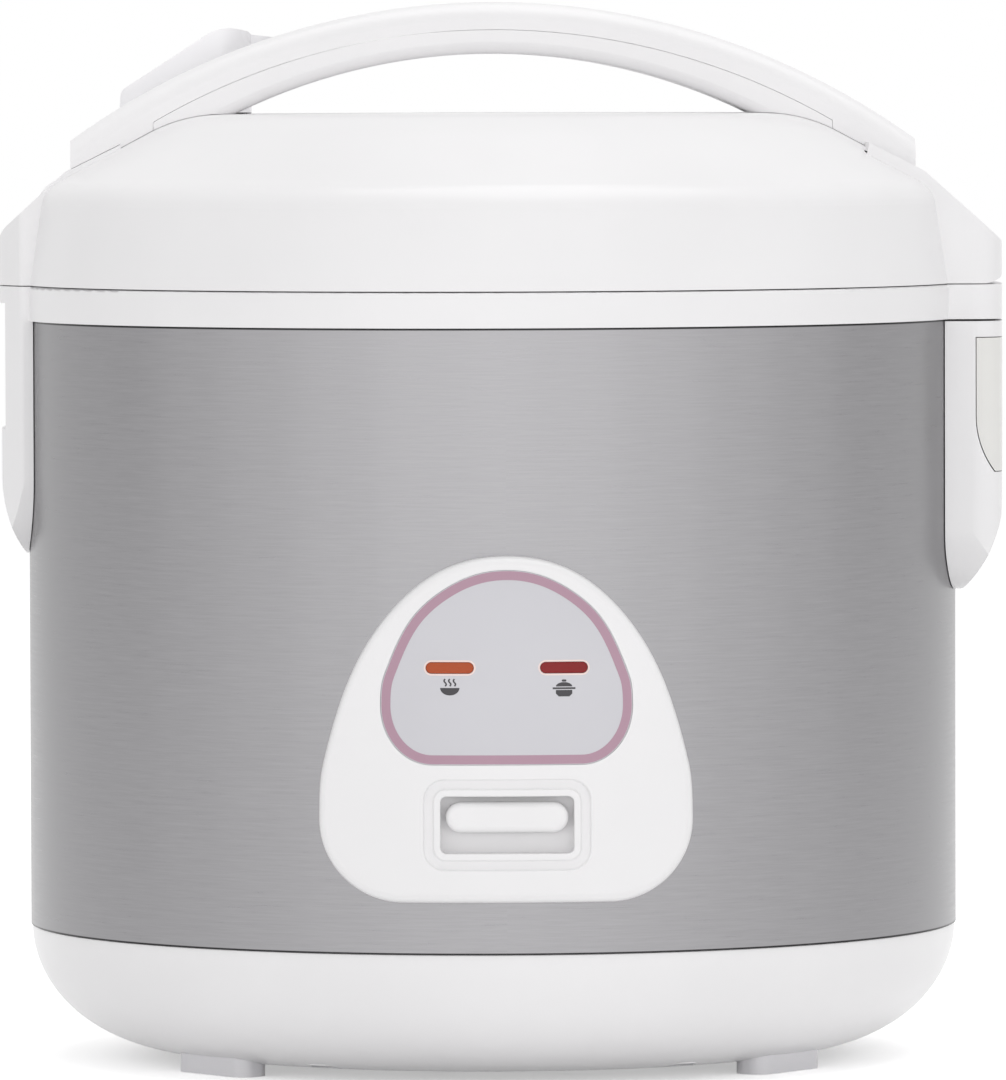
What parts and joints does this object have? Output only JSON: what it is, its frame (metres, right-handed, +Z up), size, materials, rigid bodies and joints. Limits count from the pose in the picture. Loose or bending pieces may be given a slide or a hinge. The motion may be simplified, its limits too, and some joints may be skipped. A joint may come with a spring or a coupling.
{
  "type": "rice cooker",
  "caption": "Round rice cooker with a steel band, white hinged lid with a fixed arched carry handle, front panel with a cooking lever, side lid latch, steam vent cap and dew collector cup",
  "frame": {"origin": "on the body axis, at the level of the feet", "axes": "+Z up, -Y to the front with the control panel, +X to the hinge side"},
  "size_m": [0.2924, 0.2757, 0.307],
  "materials": {
    "white_plastic": "moulded white plastic with a soft gloss",
    "steel_sheet": "horizontally brushed steel sheet",
    "foot_rubber": "pale soft plastic feet",
    "clear_plastic": "clear grey-tinted plastic",
    "label_print": "printed film",
    "amber_lens": "amber window",
    "red_lens": "red window",
    "circuit_board": "circuit board",
    "lamp_glass": "small glass lamp",
    "zinc_steel": "zinc-plated steel",
    "pot_aluminium": "drawn aluminium",
    "cast_aluminium": "cast aluminium with a turned face",
    "ferrite": "sintered ferrite and magnet",
    "black_plastic": "moulded black plastic",
    "brass_contact": "plated brass",
    "silicone": "translucent silicone"
  },
  "bodies": {
    "cooker": {"base_shell": "white_plastic", "top_collar": "white_plastic", "collector_bracket": "white_plastic", "control_panel": "white_plastic", "steel_band": "steel_sheet", "foot_pads": "foot_rubber", "panel_label": "label_print", "keep_warm_lens": "amber_lens", "cook_lens": "red_lens", "lamp_board": "circuit_board", "indicator_lamps": "lamp_glass", "panel_screws": "zinc_steel", "plate_screws": "zinc_steel", "base_screws": "zinc_steel", "lever_bracket": "zinc_steel", "lever_pin": "zinc_steel", "lever_spring": "zinc_steel", "sensor_spring": "zinc_steel", "hinge_pin": "zinc_steel", "hinge_spring": "zinc_steel", "latch_spring": "zinc_steel", "plate_spacers": "zinc_steel", "heater_terminals": "zinc_steel", "pot_liner": "zinc_steel", "sensor_holder": "zinc_steel", "inner_pot": "pot_aluminium", "heating_plate": "cast_aluminium", "micro_switch": "black_plastic", "terminal_block": "black_plastic", "power_inlet": "black_plastic", "warm_thermostat": "black_plastic", "inlet_pins": "brass_contact", "thermal_fuse": "brass_contact"},
    "lid": {"lid_cover": "white_plastic", "lid_base": "white_plastic", "lid_catch": "white_plastic", "lid_screws": "zinc_steel", "inner_lid": "pot_aluminium", "inner_lid_gasket": "silicone", "inner_lid_grommet": "silicone", "steam_boot": "silicone", "handle_upper": "white_plastic", "handle_lower": "white_plastic", "handle_screws": "zinc_steel"},
    "vent_cap": {"steam_vent_cap": "clear_plastic"},
    "latch": {"release_button": "white_plastic"},
    "lever": {"lever_arm": "zinc_steel", "cook_button": "white_plastic"},
    "magnet": {"magnet_plunger": "ferrite"},
    "sensor": {"sensor_cap": "pot_aluminium", "sensor_ferrite": "ferrite"},
    "collector": {"dew_collector": "clear_plastic"}
  },
  "joints": [
    {"name": "lid_hinge", "type": "hinge", "parent": "cooker", "child": "lid", "pos_m": [0.141, 0, 0.2343], "axis": [0, 1, 0], "range_deg": [0, 84], "deforming": ["hinge_spring"]},
    {"name": "vent_cap_lift", "type": "slide", "parent": "lid", "child": "vent_cap", "axis": [0, 0, 1], "range_m": [0, 0.045]},
    {"name": "release_press", "type": "slide", "parent": "cooker", "child": "latch", "axis": [1, 0, 0], "range_m": [0, 0.0024], "stiffness_N_per_m": 400, "springref_m": -0.002, "deforming": ["latch_spring"]},
    {"name": "cook_lever", "type": "hinge", "parent": "cooker", "child": "lever", "pos_m": [0, -0.06, 0.044], "axis": [1, 0, 0], "range_deg": [0, 4], "stiffness_Nm_per_rad": 1.5, "springref_deg": -8.59, "deforming": ["lever_spring"]},
    {"name": "magnet_rise", "type": "slide", "parent": "cooker", "child": "magnet", "axis": [0, 0, 1], "range_m": [0, 0.0045]},
    {"name": "sensor_sink", "type": "slide", "parent": "cooker", "child": "sensor", "axis": [0, 0, -1], "range_m": [0, 0.0025], "stiffness_N_per_m": 800, "springref_m": -0.003, "deforming": ["sensor_spring"]},
    {"name": "collector_pull", "type": "slide", "parent": "cooker", "child": "collector", "axis": [1, 0, 0], "range_m": [0, 0.04]}
  ],
  "couplings": [
    {"joint": "magnet_rise", "follows": "cook_lever", "m_per_rad": 0.06}
  ]
}
